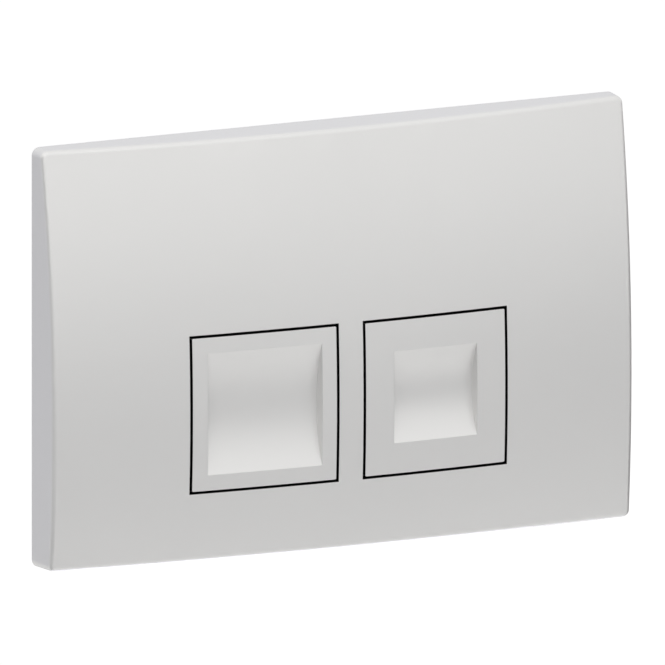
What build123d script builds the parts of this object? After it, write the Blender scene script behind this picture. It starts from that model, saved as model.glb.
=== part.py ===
from build123d import *
import os
from math import cos, degrees, asin, radians, sin, sqrt, tan

# Dual flush button plate for a cistern hidden in the wall, in millimetres.
# X runs across the plate, Y into the wall and Z up. The wall's face is Y = 0.
# Depths are measured from the wall's face towards the room, along -Y.

# Cover plate
plate_width = 246.0
plate_height = 164.0
crown_depth = 25.5  # the face's highest point, on the buttons' centre line
crown_z = -23.5
bow_radius_x = 960.0
bow_radius_z = 570.0
plate_wall = 2.5
side_draft = 2.6
plate_corner_radius = 3.2
plate_edge_radius = 1.8
collar_wall = 1.5
collar_height = 4.0
rib_wall = 1.5
rib_height = 4.0
rib_pitch = 40.0
rib_count = 5
cross_rib_z = 42.0

# Buttons
button_size = 59.7
button_pitch = 72.0
button_gap = 1.1
button_wall = 2.2
button_corner_radius = 0.5
skirt_height = 6.0
full_dish_size = 47.6
full_dish_depth = 4.6
half_dish_size = 35.8
half_dish_depth = 4.1
dish_draft = 8.0
press_angle = 6.0  # how far a button tilts in

# Hinge of each button, along X under its top edge
pin_radius = 1.5
knuckle_radius = 3.0
knuckle_clearance = 0.8
knuckle_width = 4.0
knuckle_gap = 0.4
hinge_depth_below_face = 7.0
lug_offset = 18.0
pin_fit = 0.02
pin_running_fit = 0.06

# Snap legs that keep each button from swinging out
leg_offset = 18.0
leg_width = 6.0
leg_wall = 2.2
barb_height = 2.3
barb_reach = 2.2
leg_clearance = 0.5
pad_thickness = 1.5
pad_height = 3.4
stop_clearance = 0.2

# Carrier behind the buttons
carrier_back = 9.0
carrier_wall = 2.5
carrier_rim = 2.0
carrier_lip_wall = 1.5
carrier_lip_height = 2.0
carrier_corner_radius = 5.0
post_radius = 4.0
post_side_gap = 4.2
screw_radius = 1.5
screw_clearance = 0.1
screw_head_radius = 3.0
screw_head_height = 2.0
screw_bite = 5.0

# Push rods, their heads, springs and guides
rod_drop = 10.5  # below the buttons' centre line
rod_radius = 3.0
rod_reach = 50.0  # behind the wall's face
rod_chamfer = 0.8
rod_guide_clearance = 0.2
head_radius = 7.0
head_height = 4.0
head_crown = 1.5
head_back = 8.5
head_socket = 2.5
thread_fit = 0.02
presser_radius = 4.0
presser_clearance = 0.3
guide_bore_radius = 7.5
guide_wall = 1.5
guide_flange_reach = 3.0
guide_flange_height = 1.5
guide_reach = 14.0  # behind the wall's face
guide_floor = 2.0
guide_fit = 0.2
spring_wire = 1.0
spring_mean_radius = 5.8
spring_turns = 6
spring_chords = 18  # straight lengths in each turn
spring_clearance = 0.2

# Mounting frame on the wall
frame_side_margin = 23.0
frame_top_margin = 17.0
frame_bottom_margin = 12.0
frame_web = 3.0
frame_height = 6.0
frame_rim = 2.5
frame_corner_radius = 8.0
opening_width = 140.0
opening_top = 50.0
opening_bottom = -18.0
opening_corner_radius = 4.0
band_rib_pitch = 52.0

# Fixing studs with their washers and nuts
stud_spacing = 178.0
stud_radius = 4.0
stud_tail_radius = 5.0  # behind the frame
stud_seat_depth = 2.0
stud_seat_clearance = 1.5
stud_front_reach = 1.3
stud_reach = 45.0  # behind the wall's face
stud_chamfer = 0.8
stud_hole_clearance = 0.3
boss_radius = 10.0
washer_radius = 9.0
washer_height = 1.2
nut_radius = 10.0
nut_height = 7.0
nut_grips = 8
nut_grip_radius = 2.0

# Snap hooks that hold the cover on the mounting frame
hook_spacing = 120.0
hook_width = 10.0
hook_wall = 2.0
hook_clearance = 0.3
hook_barb_reach = 1.5
hook_barb_height = 2.0
hook_side_clearance = 1.0

# Sizes that follow
overrun = 10.0  # how far a cutting shape stands past the body it cuts
wall_plane = Plane.XZ  # its local axes are X, Z and depth
bow_axis_y = bow_radius_x - crown_depth
button_xs = (-button_pitch / 2, button_pitch / 2)
window_size = button_size + 2 * button_gap
window_top = crown_z + window_size / 2
window_bottom = crown_z - window_size / 2
button_top = crown_z + button_size / 2
button_bottom = crown_z - button_size / 2
carrier_front = carrier_back + carrier_wall
post_zs = (window_bottom - collar_wall - post_side_gap, window_top + collar_wall + post_side_gap)
post_x = button_pitch / 2 + window_size / 2 + post_side_gap
post_places = [(x, z) for x in (-post_x, 0, post_x) for z in post_zs]
rod_z = crown_z - rod_drop
head_front = head_back + head_height
presser_back = head_front + presser_clearance
frame_left = -plate_width / 2 + frame_side_margin
frame_top = plate_height / 2 - frame_top_margin
frame_bottom = -plate_height / 2 + frame_bottom_margin
frame_width = -2 * frame_left
frame_size_z = frame_top - frame_bottom
frame_z = (frame_top + frame_bottom) / 2
stud_xs = (-stud_spacing / 2, stud_spacing / 2)
hook_xs = (-hook_spacing / 2, hook_spacing / 2)


def face_depth(x, z):
    """Depth of the domed face above the wall at one place."""
    drop_z = bow_radius_z - sqrt(bow_radius_z**2 - (z - crown_z) ** 2)
    return sqrt((bow_radius_x - drop_z) ** 2 - x**2) - bow_axis_y


hinge_z = button_top - button_wall - knuckle_radius - knuckle_clearance
hinge_depth = face_depth(button_pitch / 2, hinge_z) - hinge_depth_below_face
skirt_back = face_depth(button_pitch / 2, button_top) - skirt_height


def block(x, z, width, height, back, front, corner=0.0):
    """Prism that stands on the wall between two depths, with round corners if asked."""
    outline = RectangleRounded(width, height, corner) if corner else Rectangle(width, height)
    return extrude(wall_plane.offset(back) * Pos(x, z) * outline, amount=front - back)


def disc(x, z, radius, back, front):
    """Cylinder square to the wall between two depths."""
    return extrude(wall_plane.offset(back) * Pos(x, z) * Circle(radius), amount=front - back)


def cross_bar(x, z, depth, radius, length):
    """Cylinder along X, centred at one place."""
    return Pos(x, -depth, z) * Rot(0, 90, 0) * Cylinder(radius, length)


def side_profile(points, x, width):
    """Prism along X, centred at x, from corners given as depth and height."""
    corners = [(-depth, z) for depth, z in points]
    outline = Plane.YZ.offset(x - width / 2) * make_face(Polyline(*corners, close=True))
    return extrude(outline, amount=width)


def bowed(outline):
    """Solid swept sideways round the face's bow from an outline in the middle plane."""
    axis = Axis((0, bow_axis_y, 0), (0, 0, 1))
    half_angle = degrees(asin(plate_width / bow_radius_x))
    return revolve(outline.rotate(axis, -half_angle), axis, 2 * half_angle)


def dome(inset=0.0):
    """Everything behind the domed face, or behind that face moved in by an inset."""
    radius = bow_radius_z - inset
    centre_y = bow_radius_z - crown_depth
    reach_z = plate_height
    edge_y = centre_y - sqrt(radius**2 - reach_z**2)
    back_y = edge_y + plate_width
    front = ThreePointArc(
        (0, edge_y, crown_z - reach_z),
        (0, centre_y - radius, crown_z),
        (0, edge_y, crown_z + reach_z),
    )
    back = Polyline(
        front @ 1,
        (0, back_y, crown_z + reach_z),
        (0, back_y, crown_z - reach_z),
        front @ 0,
    )
    return bowed(make_face([front, back]))


def dish(x, size, depth, grow=0.0):
    """Scooped finger recess with drafted ends, grown on all sides to line it with a wall."""
    half = size / 2
    edge_depth = face_depth(0, crown_z + half)
    sag = edge_depth - crown_depth + depth
    radius = (half**2 + sag**2) / (2 * sag)
    centre_depth = crown_depth - depth + radius
    reach = half + grow
    edge_y = sqrt((radius + grow) ** 2 - reach**2) - centre_depth
    floor = ThreePointArc(
        (0, edge_y, crown_z - reach),
        (0, radius + grow - centre_depth, crown_z),
        (0, edge_y, crown_z + reach),
    )
    front_y = -crown_depth - overrun
    mouth = Polyline(
        floor @ 1,
        (0, front_y, crown_z + reach),
        (0, front_y, crown_z - reach),
        floor @ 0,
    )
    slope = tan(radians(dish_draft))
    middle = -face_depth(x, crown_z)
    front_half = reach + overrun * slope
    back_half = reach - overrun * slope
    ends = Polyline(
        (x - front_half, middle - overrun),
        (x + front_half, middle - overrun),
        (x + back_half, middle + overrun),
        (x - back_half, middle + overrun),
        close=True,
    )
    between_ends = extrude(Plane.XY.offset(crown_z) * make_face(ends), amount=reach, both=True)
    return bowed(make_face([floor, mouth])) & between_ends


def under_face(shape, height):
    """The band of a shape that hangs below the face's inside, rooted in the wall above it."""
    return shape & (dome(plate_wall / 2) - dome(plate_wall + height))


def cover_hook(x, top_hook):
    """Snap hook that grips one edge of the mounting frame from behind."""
    side = 1 if top_hook else -1
    edge = frame_top if top_hook else frame_bottom
    inner = edge + side * hook_clearance
    outer = inner + side * hook_wall
    catch = frame_web - hook_clearance
    tip = catch - hook_barb_height
    profile = [
        (crown_depth, inner),
        (catch, inner),
        (catch, inner - side * hook_barb_reach),
        (tip, inner),
        (tip, outer),
        (crown_depth, outer),
    ]
    return side_profile(profile, x, hook_width) & dome(plate_wall / 2)


def cover_plate():
    """Domed shell with two windows, collars, ribs, screw posts and snap hooks."""
    height = crown_depth + overrun
    outline = RectangleRounded(plate_width, plate_height, plate_corner_radius)
    inner_outline = Rectangle(plate_width - 2 * plate_wall, plate_height - 2 * plate_wall)
    body = extrude(wall_plane * outline, amount=height, taper=side_draft) & dome()
    body = fillet(body.faces().filter_by(GeomType.REVOLUTION).edges(), plate_edge_radius)
    hollow = extrude(wall_plane * inner_outline, amount=height, taper=side_draft) & dome(plate_wall)
    cover = body - hollow
    ribs = []
    rib_bottom = post_zs[1] + post_radius + carrier_rim
    rib_top = plate_height / 2 - plate_wall / 2
    for number in range(rib_count):
        x = (number - (rib_count - 1) / 2) * rib_pitch
        ribs.append(block(x, (rib_bottom + rib_top) / 2, rib_wall, rib_top - rib_bottom, 0, height))
    ribs.append(block(0, cross_rib_z, frame_width, rib_wall, 0, height))
    collar_size = window_size + 2 * collar_wall
    collars = [block(x, crown_z, collar_size, collar_size, 0, height) for x in button_xs]
    raised = under_face(Part() + ribs, rib_height) + under_face(Part() + collars, collar_height)
    posts = [disc(x, z, post_radius, carrier_front, height) & dome(plate_wall / 2) for x, z in post_places]
    hooks = [cover_hook(x, top_hook) for x in hook_xs for top_hook in (True, False)]
    cover = cover + raised + posts + hooks
    for x in button_xs:
        cover -= block(x, crown_z, window_size, window_size, 0, height)
    for x, z in post_places:
        cover -= disc(x, z, screw_radius + screw_clearance, carrier_front, carrier_front + screw_bite)
    return cover


def knuckles(x, offset_x, front):
    """Pair of hinge eyes about the pin, each on a web that runs to a given depth."""
    eyes = []
    for side in (-1, 1):
        eye_x = x + side * offset_x
        eyes.append(cross_bar(eye_x, hinge_z, hinge_depth, knuckle_radius, knuckle_width))
        back = min(hinge_depth, front)
        eyes.append(block(eye_x, hinge_z, knuckle_width, 2 * knuckle_radius, back, max(hinge_depth, front)))
    return Part() + eyes


def leg_swing(depth):
    """How far a leg moves up at one depth when its button is pressed."""
    return (hinge_depth - depth) * sin(radians(press_angle))


def snap_leg(x):
    """Leg with a barb that catches behind the carrier."""
    catch = carrier_back - pad_thickness - stop_clearance
    tip = catch - barb_height
    profile = [
        (skirt_back + button_wall, button_bottom),
        (catch, button_bottom),
        (catch, button_bottom - barb_reach),
        (tip, button_bottom),
        (tip, button_bottom + leg_wall),
        (skirt_back + button_wall, button_bottom + leg_wall),
    ]
    return side_profile(profile, x, leg_width)


def button(x, dish_size, dish_depth):
    """Hollow cap that follows the domed face, with its dish, hinge eyes, legs and presser."""
    front = crown_depth + overrun
    inner_size = button_size - 2 * button_wall
    cap = block(x, crown_z, button_size, button_size, skirt_back, front, button_corner_radius) & dome()
    lining = dish(x, dish_size, dish_depth, button_wall)
    hollow = (block(x, crown_z, inner_size, inner_size, 0, front) & dome(button_wall)) - lining
    eyes = knuckles(x, lug_offset + knuckle_width + knuckle_gap, crown_depth)
    presser = disc(x, rod_z, presser_radius, presser_back, crown_depth)
    inside = (eyes + presser) & dome(button_wall / 2)
    inside -= dish(x, dish_size, dish_depth, button_wall / 2)
    legs = [snap_leg(x + side * leg_offset) for side in (-1, 1)]
    cap = cap - hollow - dish(x, dish_size, dish_depth) + inside + legs
    return cap - cross_bar(x, hinge_z, hinge_depth, pin_radius + pin_running_fit, button_size - 2 * button_wall)


def hinge_pin(x):
    """Steel pin through the eyes of one button and the lugs of the carrier."""
    length = 2 * (lug_offset + knuckle_width + knuckle_gap) + knuckle_width
    return cross_bar(x, hinge_z, hinge_depth, pin_radius, length)


def button_carrier():
    """Plate behind the buttons with hinge lugs, leg slots and openings for the rod heads."""
    rim = post_radius + carrier_rim
    width = 2 * (post_x + rim)
    height = post_zs[1] - post_zs[0] + 2 * rim
    middle_z = (post_zs[0] + post_zs[1]) / 2
    lip_front = carrier_front + carrier_lip_height
    inner_width = width - 2 * carrier_lip_wall
    inner_height = height - 2 * carrier_lip_wall
    inner_corner = carrier_corner_radius - carrier_lip_wall
    carrier = block(0, middle_z, width, height, carrier_back, lip_front, carrier_corner_radius)
    carrier -= block(0, middle_z, inner_width, inner_height, carrier_front, lip_front, inner_corner)
    slot_bottom = button_bottom - leg_clearance
    slot_top = button_bottom + leg_wall + leg_swing(carrier_back) + leg_clearance
    slot_width = leg_width + 2 * leg_clearance
    for x in button_xs:
        carrier += knuckles(x, lug_offset, carrier_back)
        carrier -= cross_bar(x, hinge_z, hinge_depth, pin_radius + pin_fit, button_size)
        carrier -= disc(x, rod_z, guide_bore_radius + button_gap, 0, carrier_front)
        for side in (-1, 1):
            slot_z = (slot_bottom + slot_top) / 2
            leg_x = x + side * leg_offset
            carrier -= block(leg_x, slot_z, slot_width, slot_top - slot_bottom, 0, carrier_front)
    for x, z in post_places:
        carrier -= disc(x, z, screw_radius + screw_clearance, 0, carrier_front)
    return carrier


def stop_pads():
    """Rubber pads behind the carrier that the legs' barbs rest on."""
    pad_z = button_bottom - leg_clearance - pad_height / 2
    back = carrier_back - pad_thickness
    pads = []
    for x in button_xs:
        for side in (-1, 1):
            pads.append(block(x + side * leg_offset, pad_z, leg_width, pad_height, back, carrier_back))
    return Compound(pads)


def carrier_screws():
    """Screws that hold the carrier on the cover's posts."""
    screws = []
    for x, z in post_places:
        head = disc(x, z, screw_head_radius, carrier_back - screw_head_height, carrier_back)
        shank = disc(x, z, screw_radius, carrier_back, carrier_front + screw_bite)
        screws.append(head + shank)
    return Compound(screws)


def push_rod(x):
    """Plain rod that carries the press through the wall."""
    rod = disc(x, rod_z, rod_radius, -rod_reach, head_back + head_socket)
    return chamfer(rod.edges().filter_by(GeomType.CIRCLE), rod_chamfer)


def rod_head(x):
    """Domed cap screwed on the front of a push rod."""
    ball_radius = (head_radius**2 + head_crown**2) / (2 * head_crown)
    ball = Pos(x, -(head_front - ball_radius), rod_z) * Sphere(ball_radius)
    head = disc(x, rod_z, head_radius, head_back, head_front) & ball
    return head - disc(x, rod_z, rod_radius + thread_fit, head_back, head_back + head_socket + thread_fit)


def rod_guide(x):
    """Flanged cup that guides a push rod and holds its spring."""
    tube_radius = guide_bore_radius + guide_wall
    flange_front = frame_web + guide_flange_height
    guide = disc(x, rod_z, tube_radius, -guide_reach, flange_front)
    guide += disc(x, rod_z, tube_radius + guide_flange_reach, frame_web, flange_front)
    guide -= disc(x, rod_z, guide_bore_radius, guide_floor - guide_reach, flange_front)
    return guide - disc(x, rod_z, rod_radius + rod_guide_clearance, -guide_reach, flange_front)


def return_spring(x):
    """Compression spring round a push rod, ground flat at both ends."""
    back = guide_floor - guide_reach
    front = head_back - spring_clearance
    chords = spring_turns * spring_chords
    route = []
    for number in range(-1, chords + 2):
        angle = radians(360 * number / spring_chords)
        depth = back + (front - back) * number / chords
        wire_x = x + spring_mean_radius * cos(angle)
        wire_z = rod_z + spring_mean_radius * sin(angle)
        route.append((wire_x, -depth, wire_z))
    path = Polyline(*route)
    section = Plane(path @ 0, x_dir=(0, 1, 0), z_dir=path % 0) * Rectangle(spring_wire, spring_wire)
    coil = sweep(section, path, transition=Transition.RIGHT)
    return coil & disc(x, rod_z, guide_bore_radius, back, front)


def mounting_frame():
    """Moulded frame on the wall with a service opening above a broad lower band."""
    opening_height = opening_top - opening_bottom
    opening_z = (opening_top + opening_bottom) / 2

    def frame_outline(inset, front):
        corner = frame_corner_radius - inset
        return block(0, frame_z, frame_width - 2 * inset, frame_size_z - 2 * inset, 0, front, corner)

    def opening(grow, front):
        corner = opening_corner_radius + grow
        return block(0, opening_z, opening_width + 2 * grow, opening_height + 2 * grow, 0, front, corner)

    frame = frame_outline(0, frame_height)
    trough = frame_outline(frame_rim, frame_height) - opening(frame_rim, frame_height)
    trough -= frame_outline(frame_rim, frame_web)
    band_ribs = []
    band_width = -frame_left - opening_width / 2
    for side in (-1, 1):
        for up in (-1, 1):
            rib_x = side * (opening_width / 2 + band_width / 2)
            band_ribs.append(block(rib_x, up * band_rib_pitch / 2, band_width, rib_wall, 0, frame_height))
    bosses = [disc(x, 0, boss_radius, 0, frame_height) for x in stud_xs]
    frame = frame - trough + band_ribs + bosses
    frame -= opening(0, frame_height)
    for x in stud_xs:
        frame -= disc(x, 0, stud_radius + stud_hole_clearance, 0, frame_height)
        frame -= disc(x, 0, stud_tail_radius + stud_seat_clearance, 0, stud_seat_depth)
    slot_bottom = button_bottom - barb_reach - leg_clearance
    slot_top = button_bottom + leg_wall + leg_swing(0) + leg_clearance
    slot_width = leg_width + 4 * leg_clearance
    for x in button_xs:
        frame -= disc(x, rod_z, guide_bore_radius + guide_wall + guide_fit, 0, frame_height)
        for side in (-1, 1):
            slot_z = (slot_bottom + slot_top) / 2
            leg_x = x + side * leg_offset
            frame -= block(leg_x, slot_z, slot_width, slot_top - slot_bottom, 0, frame_height)
    notch_width = hook_width + 2 * hook_side_clearance
    for x in hook_xs:
        for edge in (frame_top, frame_bottom):
            frame -= block(x, edge, notch_width, 2 * hook_barb_reach, 0, frame_web)
    return frame


def fixing_stud(x):
    """Shouldered stud that seats in the frame's back and ties it to the cistern in the wall."""
    front = frame_height + washer_height + nut_height + stud_front_reach
    stud = disc(x, 0, stud_tail_radius, -stud_reach, stud_seat_depth) + disc(x, 0, stud_radius, 0, front)
    rims = stud.edges().filter_by(GeomType.CIRCLE).sort_by(Axis.Y)
    return chamfer([rims[0], rims[-1]], stud_chamfer)


def fixing_washer(x):
    """Flat washer between the frame's boss and the nut."""
    front = frame_height + washer_height
    washer = disc(x, 0, washer_radius, frame_height, front)
    return washer - disc(x, 0, stud_radius + stud_hole_clearance, frame_height, front)


def fixing_nut(x):
    """Hand nut with scalloped grips."""
    back = frame_height + washer_height
    nut = disc(x, 0, nut_radius, back, back + nut_height)
    for number in range(nut_grips):
        angle = radians(360 * (number + 0.5) / nut_grips)
        grip_x = x + nut_radius * cos(angle)
        grip_z = nut_radius * sin(angle)
        nut -= disc(grip_x, grip_z, nut_grip_radius, back, back + nut_height)
    return nut - disc(x, 0, stud_radius + thread_fit, back, back + nut_height)


nodes = {
    "cover_plate": cover_plate(),
    "button_carrier": button_carrier(),
    "carrier_screws": carrier_screws(),
    "stop_pads": stop_pads(),
    "mounting_frame": mounting_frame(),
}
dishes = ((full_dish_size, full_dish_depth), (half_dish_size, half_dish_depth))
for flush, x, (dish_size, dish_depth) in zip(("full_flush", "half_flush"), button_xs, dishes):
    nodes[flush + "_button"] = button(x, dish_size, dish_depth)
    nodes[flush + "_hinge_pin"] = hinge_pin(x)
    nodes[flush + "_push_rod"] = push_rod(x)
    nodes[flush + "_rod_head"] = rod_head(x)
    nodes[flush + "_rod_guide"] = rod_guide(x)
    nodes[flush + "_spring"] = return_spring(x)
for side, x in zip(("left", "right"), stud_xs):
    nodes["fixing_stud_" + side] = fixing_stud(x)
    nodes["fixing_washer_" + side] = fixing_washer(x)
    nodes["fixing_nut_" + side] = fixing_nut(x)

os.makedirs("parts", exist_ok=True)
for name, shape in nodes.items():
    export_step(shape, f"parts/{name}.step")
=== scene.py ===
import bpy
import bmesh
from math import cos, pi, radians, sin
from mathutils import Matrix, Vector


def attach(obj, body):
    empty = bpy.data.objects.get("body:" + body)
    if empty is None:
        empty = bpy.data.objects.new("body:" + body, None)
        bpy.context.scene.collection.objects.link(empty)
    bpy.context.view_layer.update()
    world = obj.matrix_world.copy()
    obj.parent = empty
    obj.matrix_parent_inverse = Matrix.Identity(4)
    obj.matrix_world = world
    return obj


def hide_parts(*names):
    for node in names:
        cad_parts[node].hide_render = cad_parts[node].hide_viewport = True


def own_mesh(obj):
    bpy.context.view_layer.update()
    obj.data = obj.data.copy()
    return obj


# Dual flush button plate: finishes, turned and threaded hardware, studio and camera.
# Everything is in metres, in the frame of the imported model: X across, Y into the wall, Z up.

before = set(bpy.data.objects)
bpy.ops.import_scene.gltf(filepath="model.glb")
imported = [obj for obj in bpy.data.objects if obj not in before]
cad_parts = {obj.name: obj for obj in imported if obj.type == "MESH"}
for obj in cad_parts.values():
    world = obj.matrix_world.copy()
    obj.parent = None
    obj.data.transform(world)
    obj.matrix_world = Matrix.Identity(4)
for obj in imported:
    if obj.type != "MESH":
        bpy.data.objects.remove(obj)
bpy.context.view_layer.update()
mm = 0.001

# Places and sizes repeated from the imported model
button_x = 36 * mm
button_z = -23.5 * mm
button_half = 29.85 * mm
window_half = 30.95 * mm
rod_z = -34 * mm
stud_x = 89 * mm
screw_xs = (-71.15 * mm, 0, 71.15 * mm)
screw_zs = (-60.15 * mm, 13.15 * mm)
flushes = {"full_flush": -button_x, "half_flush": button_x}
studs = {"left": -stud_x, "right": stud_x}


def add_object(name, data):
    """New object in the scene."""
    added = bpy.data.objects.new(name, data)
    bpy.context.scene.collection.objects.link(added)
    return added


class Nodes:
    """Short way to write a material's node tree."""

    def __init__(self, name):
        self.material = bpy.data.materials.new(name)
        self.material.use_nodes = True
        self.tree = self.material.node_tree
        self.shader = self.tree.nodes["Principled BSDF"]
        self.place = self.add("ShaderNodeTexCoord").outputs["Object"]

    def add(self, kind, **settings):
        node = self.tree.nodes.new(kind)
        for key, value in settings.items():
            setattr(node, key, value)
        return node

    def link(self, source, target):
        self.tree.links.new(source, target)

    def feed(self, socket, value):
        """Give an input a plain value or another node's output."""
        if isinstance(value, bpy.types.NodeSocket):
            self.link(value, socket)
        else:
            socket.default_value = value

    def surface(self, trait, value):
        """Set one trait of the surface, such as its roughness."""
        self.feed(self.shader.inputs[trait], value)

    def math(self, operation, first, second=0.0):
        node = self.add("ShaderNodeMath", operation=operation)
        self.feed(node.inputs[0], first)
        self.feed(node.inputs[1], second)
        return node.outputs[0]

    def noise(self, scale, detail=2.0, stretch=(1, 1, 1)):
        mapping = self.add("ShaderNodeMapping")
        mapping.inputs["Scale"].default_value = stretch
        self.link(self.place, mapping.inputs["Vector"])
        node = self.add("ShaderNodeTexNoise")
        node.inputs["Scale"].default_value = scale
        node.inputs["Detail"].default_value = detail
        self.link(mapping.outputs["Vector"], node.inputs["Vector"])
        return node.outputs["Fac"]

    def spread(self, value, low, high, start=0.3, end=0.7):
        """Number that goes from low to high while a value goes from start to end."""
        node = self.add("ShaderNodeMapRange")
        self.link(value, node.inputs["Value"])
        node.inputs["From Min"].default_value = start
        node.inputs["From Max"].default_value = end
        node.inputs["To Min"].default_value = low
        node.inputs["To Max"].default_value = high
        return node.outputs["Result"]

    def shades(self, value, dark, light, start=0.3, end=0.7):
        """Colour that goes from dark to light while a value goes from start to end."""
        node = self.add("ShaderNodeValToRGB")
        node.color_ramp.elements[0].position = start
        node.color_ramp.elements[0].color = (*dark, 1)
        node.color_ramp.elements[1].position = end
        node.color_ramp.elements[1].color = (*light, 1)
        self.link(value, node.inputs["Fac"])
        return node.outputs["Color"]

    def mix(self, mask, first, second):
        """First colour where a mask is 0 and second where it is 1, on the mix node's colour sockets."""
        first_in, second_in, mixed_out = 6, 7, 2
        node = self.add("ShaderNodeMix", data_type="RGBA")
        self.link(mask, node.inputs["Factor"])
        self.feed(node.inputs[first_in], first)
        self.feed(node.inputs[second_in], second)
        return node.outputs[mixed_out]

    def bump(self, height, depth, strength, normal=None):
        node = self.add("ShaderNodeBump")
        node.inputs["Strength"].default_value = strength
        node.inputs["Distance"].default_value = depth
        self.link(height, node.inputs["Height"])
        if normal is not None:
            self.link(normal, node.inputs["Normal"])
        return node.outputs["Normal"]

    def soft_edges(self, radius, samples=6):
        node = self.add("ShaderNodeBevel", samples=samples)
        node.inputs["Radius"].default_value = radius
        return node.outputs["Normal"]


def painted_gap_shade_mask(m):
    """Mask of the side walls between a button and its window, where the shade of the gap is painted on as
    black.
    """
    slack = 0.1 * mm
    most_lean = 0.06
    split = m.add("ShaderNodeSeparateXYZ")
    m.link(m.place, split.inputs[0])
    from_button = m.math("SUBTRACT", m.math("ABSOLUTE", split.outputs["X"]), button_x)
    across = m.math("ABSOLUTE", from_button)
    upright = m.math("ABSOLUTE", m.math("SUBTRACT", split.outputs["Z"], button_z))
    reach = m.math("MAXIMUM", across, upright)
    past_button = m.math("GREATER_THAN", reach, button_half - slack)
    inside_window = m.math("LESS_THAN", reach, window_half + slack)
    ring = m.math("MULTIPLY", past_button, inside_window)
    facing = m.add("ShaderNodeSeparateXYZ")
    m.link(m.add("ShaderNodeTexCoord").outputs["Normal"], facing.inputs[0])
    sideways = m.math("LESS_THAN", m.math("ABSOLUTE", facing.outputs["Y"]), most_lean)
    return m.math("MULTIPLY", ring, sideways)


def satin_silver():
    """Satin silver coat on a moulding, fine grained, with painted black shade on the side walls in the
    gaps.
    """
    dark = (0.732, 0.728, 0.719)
    light = (0.750, 0.746, 0.737)
    # Near-black painted shade for the gap walls between each button and its window
    painted_gap_shade = (0.006, 0.006, 0.006, 1)
    m = Nodes("satin_silver_coat")
    tone = m.shades(m.noise(scale=9.0, detail=3.0), dark, light)
    # The silver gives way to the painted black shade on the gap walls
    m.surface("Base Color", m.mix(painted_gap_shade_mask(m), tone, painted_gap_shade))
    m.surface("Metallic", 0.65)
    m.surface("Roughness", m.spread(m.noise(scale=1400.0), low=0.36, high=0.42))
    grain = m.noise(scale=5200.0)
    edges = m.soft_edges(0.3 * mm)
    m.surface("Normal", m.bump(grain, depth=0.01 * mm, strength=0.25, normal=edges))
    return m.material


def moulded_plastic(name, dark, light, rough, grain_depth=0.02 * mm):
    """Moulded plastic with a fine spark-eroded grain and faint flow marks."""
    m = Nodes(name)
    flow = m.noise(scale=26.0, detail=4.0, stretch=(1, 1, 3))
    m.surface("Base Color", m.shades(flow, dark, light))
    patches = m.noise(scale=700.0, detail=3.0)
    m.surface("Roughness", m.spread(patches, low=rough - 0.05, high=rough + 0.07))
    grain = m.noise(scale=3600.0, detail=3.0)
    edges = m.soft_edges(0.25 * mm)
    m.surface("Normal", m.bump(grain, depth=grain_depth, strength=0.5, normal=edges))
    return m.material


def turned_steel(name, dark, light, rough, stretch):
    """Steel with fine tool marks along one direction and a slightly uneven tint."""
    m = Nodes(name)
    m.surface("Base Color", m.shades(m.noise(scale=160.0, detail=4.0), dark, light))
    m.surface("Metallic", 1.0)
    marks = m.noise(scale=900.0, stretch=stretch)
    m.surface("Roughness", m.spread(marks, low=rough - 0.06, high=rough + 0.08))
    m.surface("Normal", m.bump(marks, depth=0.01 * mm, strength=0.4))
    return m.material


def stop_rubber():
    """Matt rubber with a fine pitted skin."""
    dark = (0.018, 0.018, 0.019)
    light = (0.035, 0.034, 0.033)
    m = Nodes("stop_rubber")
    m.surface("Base Color", m.shades(m.noise(scale=300.0, detail=3.0), dark, light))
    m.surface("Roughness", m.spread(m.noise(scale=900.0), low=0.78, high=0.92))
    pits = m.noise(scale=2600.0, detail=3.0)
    m.surface("Normal", m.bump(pits, depth=0.04 * mm, strength=0.6))
    return m.material


finishes = {
    "satin_silver": satin_silver(),
    "black_plastic": moulded_plastic(
        "black_moulding", dark=(0.014, 0.014, 0.015), light=(0.021, 0.021, 0.022), rough=0.52
    ),
    "grey_plastic": moulded_plastic(
        "grey_moulding", dark=(0.150, 0.153, 0.158), light=(0.172, 0.175, 0.180), rough=0.55
    ),
    "white_plastic": moulded_plastic(
        "natural_moulding",
        dark=(0.66, 0.65, 0.62),
        light=(0.72, 0.71, 0.68),
        rough=0.42,
        grain_depth=0.01 * mm,
    ),
    "bright_steel": turned_steel(
        "drawn_steel", dark=(0.56, 0.56, 0.57), light=(0.66, 0.66, 0.66), rough=0.26, stretch=(4, 4, 4)
    ),
    "zinc_steel": turned_steel(
        "zinc_plate", dark=(0.50, 0.51, 0.53), light=(0.62, 0.62, 0.61), rough=0.34, stretch=(1, 8, 1)
    ),
    "rubber": stop_rubber(),
}

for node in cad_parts.values():
    slot = node.data.materials[0].name
    node.material_slots[0].material = finishes[slot]


def add_piece(name, mesh, slot, body, *stands_for):
    """Object from a bmesh, finished with a slot's material, riding on a body in place of CAD nodes."""
    crease = radians(32)
    bmesh.ops.recalc_face_normals(mesh, faces=mesh.faces)
    data = bpy.data.meshes.new(name)
    mesh.to_mesh(data)
    mesh.free()
    data.materials.append(finishes[slot])
    data.shade_smooth()
    data.set_sharp_from_angle(angle=crease)
    piece = add_object(name, data)
    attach(piece, body)
    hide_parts(*stands_for)
    return piece


def clean_shell(name, body, node):
    """Copy of a moulding without the stray shading normals that its sharp edges leave on flat stretches."""
    same_surface = cos(radians(30))
    stray = radians(6)
    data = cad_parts[node].data.copy()
    around = [[] for vertex in data.vertices]
    for face in data.polygons:
        for vertex in face.vertices:
            around[vertex].append((face.normal.copy(), face.area))
    normals = [None] * len(data.loops)
    for face in data.polygons:
        for corner in face.loop_indices:
            mean = Vector()
            for normal, area in around[data.loops[corner].vertex_index]:
                if normal.dot(face.normal) > same_surface:
                    mean += normal * area
            kept = data.corner_normals[corner].vector.copy()
            normals[corner] = mean.normalized() if mean.angle(kept, 0) > stray else kept
    data.normals_split_custom_set(normals)
    piece = add_object(name, data)
    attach(piece, body)
    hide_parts(node)


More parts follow.
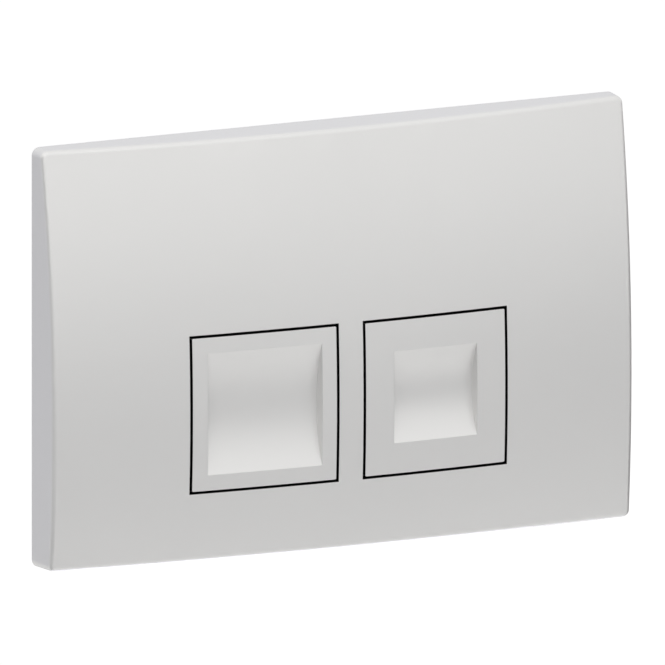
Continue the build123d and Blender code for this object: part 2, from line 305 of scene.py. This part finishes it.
def join_rings(mesh, rings):
    """Skin between rings of points."""
    for near, far in zip(rings, rings[1:]):
        for step in range(len(near)):
            after = (step + 1) % len(near)
            mesh.faces.new((near[step], near[after], far[after], far[step]))


def close_ends(mesh, rings):
    """Flat caps on the first and last of the rings."""
    mesh.faces.new(rings[0])
    mesh.faces.new(list(reversed(rings[-1])))


def ring_edges(mesh, ring):
    """Edges round a ring of points, made where they are missing."""
    edges = []
    for near, far in zip(ring, ring[1:] + ring[:1]):
        edges.append(mesh.edges.get((near, far)) or mesh.edges.new((near, far)))
    return edges


def turned(mesh, x, z, profile, steps):
    """Rings of a round bar along Y, from its profile as places along it and radii."""
    angles = [2 * pi * step / steps for step in range(steps)]
    rings = []
    for y, radius in profile:
        rings.append([mesh.verts.new((x + radius * cos(a), y, z + radius * sin(a))) for a in angles])
    join_rings(mesh, rings)
    return rings


def wound(mesh, x, z, turns, steps, section):
    """Closed strip wound right-handed about a bar along Y, from its section at each turn."""
    rings = []
    for number in range(round(turns * steps) + 1):
        turn = number / steps
        angle = -2 * pi * turn
        ring = [mesh.verts.new((x + r * cos(angle), y, z + r * sin(angle))) for r, y in section(turn)]
        rings.append(ring)
    join_rings(mesh, rings)
    close_ends(mesh, rings)


def thread(mesh, x, z, start, end, pitch, root, crest, steps):
    """Thread ridge on a bar between two places, rising from the root over half a turn at each end."""
    turns = (end - start) / pitch - 1
    foot = 0.45 * pitch
    land = 0.09 * pitch
    sunk = root - 0.1 * mm

    def section(turn):
        top = root + (crest - root) * min(1.0, 2 * turn, 2 * (turns - turn))
        middle = start + pitch * (turn + 0.5)
        return [(sunk, middle - foot), (top, middle - land), (top, middle + land), (sunk, middle + foot)]

    wound(mesh, x, z, turns, steps, section)


def fixing_stud(side, x):
    """Shouldered stud with a coarse thread behind the frame and a finer one under the nut."""
    front = -15.5 * mm
    front_end = -6.5 * mm
    front_root = 3.3 * mm
    front_crest = 4 * mm
    front_pitch = 1.25 * mm
    shoulder = -2 * mm
    tail_start = 4 * mm
    back = 45 * mm
    tail_root = 4.1 * mm
    tail_crest = 5 * mm
    tail_pitch = 1.5 * mm
    chamfer = 0.8 * mm
    shank_steps = 48
    thread_steps = 40
    profile = [
        (front, front_root - chamfer),
        (front + chamfer, front_root),
        (front_end, front_root),
        (front_end + chamfer, front_crest),
        (shoulder, front_crest),
        (shoulder, tail_crest),
        (tail_start - chamfer, tail_crest),
        (tail_start, tail_root),
        (back - chamfer, tail_root),
        (back, tail_root - chamfer),
    ]
    mesh = bmesh.new()
    close_ends(mesh, turned(mesh, x, 0, profile, shank_steps))
    thread(mesh, x, 0, front, front_end, front_pitch, front_root, front_crest, thread_steps)
    thread(mesh, x, 0, tail_start, back, tail_pitch, tail_root, tail_crest, thread_steps)
    add_piece("threaded_stud_" + side, mesh, "zinc_steel", "wall_body", "fixing_stud_" + side)


def push_rod(flush, x):
    """Rod with cut-off grooves along its tail and chamfered ends."""
    front = -11 * mm
    back = 50 * mm
    radius = 3 * mm
    chamfer = 0.8 * mm
    groove_start = 20 * mm
    groove_pitch = 5 * mm
    groove_count = 6
    groove_half = 0.5 * mm
    groove_depth = 0.45 * mm
    groove_shares = (-1, -0.6, -0.3, 0, 0.3, 0.6, 1)
    steps = 40
    profile = [(front, radius - chamfer), (front + chamfer, radius)]
    for number in range(groove_count):
        middle = groove_start + number * groove_pitch
        for share in groove_shares:
            cut = groove_depth * cos(share * pi / 2)
            profile.append((middle + share * groove_half, radius - cut))
    profile += [(back - chamfer, radius), (back, radius - chamfer)]
    mesh = bmesh.new()
    close_ends(mesh, turned(mesh, x, rod_z, profile, steps))
    add_piece(flush + "_grooved_rod", mesh, "white_plastic", flush + "_rod_body", flush + "_push_rod")


def return_spring(flush, x):
    """Round wire coil, closed and ground at both ends."""
    front = -8.3 * mm
    back = 12 * mm
    ground = 0.2 * mm
    coil_radius = 5.8 * mm
    wire = 0.55 * mm
    turns = 7.5
    steps = 44
    wire_steps = 12
    first = front + ground
    last = back - ground
    climb = (last - first - 4 * wire) / (turns - 2)

    def middle(turn):
        """Middle of the wire, which climbs by its own thickness in the closed turn at each end."""
        if turn < 1:
            return first + 2 * wire * turn
        if turn > turns - 1:
            return last - 2 * wire * (turns - turn)
        return first + 2 * wire + climb * (turn - 1)

    def section(turn):
        ring = []
        for step in range(wire_steps):
            angle = 2 * pi * step / wire_steps
            y = middle(turn) + wire * sin(angle)
            ring.append((coil_radius + wire * cos(angle), min(back, max(front, y))))
        return ring

    mesh = bmesh.new()
    wound(mesh, x, rod_z, turns, steps, section)
    coil = add_piece(flush + "_coil", mesh, "bright_steel", "wall_body", flush + "_spring")
    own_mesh(coil)


def carrier_screws():
    """Six pan-head screws with cross recesses and coarse threads in the cover's posts."""
    tip = -16.5 * mm
    tip_radius = 0.3 * mm
    taper = 1 * mm
    root = 1.1 * mm
    crest = 1.5 * mm
    pitch = 0.9 * mm
    seat = -9 * mm
    thread_start = tip + 0.5 * mm
    thread_end = seat - 0.5 * mm
    head_back = -7 * mm
    head_radius = 3 * mm
    rounding = 0.7 * mm
    arm_half = 0.35 * mm
    arm_reach = 1.7 * mm
    floor_y = head_back - 1.2 * mm
    draft = 0.8
    shank_steps = 40
    thread_steps = 24
    profile = [
        (tip, tip_radius),
        (tip + taper, root),
        (seat - taper, root),
        (seat, crest),
        (seat, head_radius),
    ]
    for degrees_round in (0, 30, 60, 90):
        turn = radians(degrees_round)
        y = head_back - rounding * (1 - sin(turn))
        profile.append((y, head_radius - rounding * (1 - cos(turn))))
    arm_corners = ((arm_reach, -arm_half), (arm_reach, arm_half), (arm_half, arm_half))
    cross = []
    for along, aside in ((1, 0), (0, 1), (-1, 0), (0, -1)):
        for reach, half in arm_corners:
            cross.append((reach * along - half * aside, reach * aside + half * along))
    mesh = bmesh.new()
    for x in screw_xs:
        for z in screw_zs:
            rings = turned(mesh, x, z, profile, shank_steps)
            mesh.faces.new(rings[0])
            mouth = [mesh.verts.new((x + u, head_back, z + w)) for u, w in cross]
            floor = [mesh.verts.new((x + draft * u, floor_y, z + draft * w)) for u, w in cross]
            edges = ring_edges(mesh, rings[-1]) + ring_edges(mesh, mouth)
            bmesh.ops.triangle_fill(mesh, use_beauty=True, edges=edges)
            join_rings(mesh, [mouth, floor])
            mesh.faces.new(floor)
            thread(mesh, x, z, thread_start, thread_end, pitch, root, crest, thread_steps)
    add_piece("recessed_screws", mesh, "zinc_steel", "wall_body", "carrier_screws")


clean_shell("cover_moulding", "wall_body", "cover_plate")
for flush in flushes:
    clean_shell(flush + "_cap", flush + "_button_body", flush + "_button")
for side, x in studs.items():
    fixing_stud(side, x)
for flush, x in flushes.items():
    push_rod(flush, x)
    return_spring(flush, x)
carrier_screws()

# How strongly the white surroundings light the plate, where 1 is as bright as they look
world_light = 0.57

softbox_place = Vector((-0.6, -1.2, 1.6))
softbox_size = (2.4, 2.0)
softbox_power = 35
softbox_tint = (1.0, 0.993, 0.98)

floor_z = -0.36
floor_half = 6.0

# Grey cards out of the picture: a corner, the sides that run from it, how bright the card is and its tint
neutral = (0.99, 0.995, 1.02)
cool = (0.985, 0.99, 1.07)
cards = {
    "low_card": ((-1.2, -0.6, -0.35), (2.4, 0, 0), (0, 0, 0.31), 0.46, neutral),
    "right_card": ((0.5, -0.22, -0.35), (0, 0.72, 0), (0, 0, 0.4), 0.12, neutral),
    "back_card": ((-1.2, 0.95, 0.1), (2.1, 0, 0), (0, 0, 0.6), 0.8, cool),
    "left_card": ((-1.0, 0.1, -0.35), (0.9, 1.0, 0), (0, 0, 0.45), 0.58, cool),
    "side_card": ((-0.6, -0.45, -0.35), (0, 0.55, 0), (0, 0, 0.65), 0.4, neutral),
    "foot_card": ((-0.6, -0.7, -0.34), (0.42, 0, 0), (0, 0.7, 0), 0.2, neutral),
    "under_card": ((-0.15, -0.06, -0.3), (0.37, 0, 0), (0, 0.26, 0), 2.1, cool),
}


def looked_at(tree):
    """1 for rays that show a surface in the picture or in a reflection, 0 for rays that gather light."""
    rays = tree.nodes.new("ShaderNodeLightPath")
    seen = rays.outputs["Is Camera Ray"]
    for other in ("Is Glossy Ray", "Is Transmission Ray"):
        either = tree.nodes.new("ShaderNodeMath")
        either.operation = "MAXIMUM"
        tree.links.new(seen, either.inputs[0])
        tree.links.new(rays.outputs[other], either.inputs[1])
        seen = either.outputs[0]
    return seen


def flat_sheet(name, corner, along, aside, material):
    """Flat object from a corner and the two sides that run from it."""
    corner, along, aside = Vector(corner), Vector(along), Vector(aside)
    data = bpy.data.meshes.new(name)
    data.from_pydata([corner, corner + along, corner + along + aside, corner + aside], [], [(0, 1, 2, 3)])
    data.materials.append(material)
    return add_object(name, data)


def pale_floor():
    """Pale matt floor that reads as the white background further out and keeps the shadow near by."""
    albedo = 0.78
    mottle = 0.01
    near, lift_near = 0.3, 0.02
    far, lift_far = 1.3, 0.5
    m = Nodes("pale_floor")
    m.surface("Base Color", m.shades(m.noise(scale=3.0), (albedo - mottle,) * 3, (albedo + mottle,) * 3))
    m.surface("Roughness", 0.9)
    m.surface("Specular IOR Level", 0.0)
    reach = m.add("ShaderNodeVectorMath", operation="LENGTH")
    m.link(m.place, reach.inputs[0])
    lift = m.spread(reach.outputs["Value"], lift_near, lift_far, near, far)
    m.surface("Emission Color", (1, 1, 1, 1))
    m.surface("Emission Strength", m.math("MULTIPLY", looked_at(m.tree), lift))
    side = 2 * floor_half
    floor = flat_sheet("floor", (-floor_half, -floor_half, floor_z), (side, 0, 0), (0, side, 0), m.material)


def white_surroundings():
    """Surroundings that look white and light the plate less strongly."""
    world = bpy.data.worlds.new("white_surroundings")
    world.use_nodes = True
    tree = world.node_tree
    background = tree.nodes["Background"]
    background.inputs["Color"].default_value = (1, 1, 1, 1)
    level = tree.nodes.new("ShaderNodeMapRange")
    level.inputs["To Min"].default_value = world_light
    tree.links.new(looked_at(tree), level.inputs["Value"])
    tree.links.new(level.outputs["Result"], background.inputs["Strength"])
    bpy.context.scene.world = world


def softbox():
    """One large soft lamp above the camera, which leaves no highlight of its own."""
    lamp = bpy.data.lights.new("softbox", "AREA")
    lamp.shape = "RECTANGLE"
    lamp.size, lamp.size_y = softbox_size
    lamp.energy = softbox_power
    lamp.color = softbox_tint
    body = add_object("softbox", lamp)
    body.location = softbox_place
    body.rotation_euler = (-softbox_place).to_track_quat("-Z", "Y").to_euler()
    body.visible_glossy = False


def grey_card(name, corner, along, aside, glow, tint):
    """Even card that only shows in reflections, as a photographer's grey card out of the picture does."""
    m = Nodes(name)
    m.tree.nodes.remove(m.shader)
    shine = m.add("ShaderNodeEmission")
    shine.inputs["Color"].default_value = (*tint, 1)
    shine.inputs["Strength"].default_value = glow
    m.link(shine.outputs["Emission"], m.tree.nodes["Material Output"].inputs["Surface"])
    card = flat_sheet(name, corner, along, aside, m.material)
    card.visible_camera = False
    card.visible_diffuse = False
    card.visible_shadow = False
    card.visible_transmission = False


def photograph_camera():
    """Parallel view from the left and a little above, framed as in the photograph."""
    turn = radians(25.09)
    rise = radians(12.02)
    distance = 1.2
    view_width = 0.2540
    shift_right = 3.5 * mm
    shift_down = 1.3 * mm
    away = Vector((-sin(turn) * cos(rise), -cos(turn) * cos(rise), sin(rise)))
    right = Vector((cos(turn), -sin(turn), 0))
    up = Vector((sin(turn) * sin(rise), cos(turn) * sin(rise), cos(rise)))
    data = bpy.data.cameras.new("camera")
    data.type = "ORTHO"
    data.ortho_scale = view_width
    data.clip_start = 0.01
    data.clip_end = 30
    camera = add_object("camera", data)
    camera.location = away * distance + right * shift_right - up * shift_down
    camera.rotation_euler = (-away).to_track_quat("-Z", "Y").to_euler()
    bpy.context.scene.camera = camera


pale_floor()
white_surroundings()
softbox()
for name, card in cards.items():
    grey_card(name, *card)
photograph_camera()
bpy.context.scene.view_settings.view_transform = "Standard"
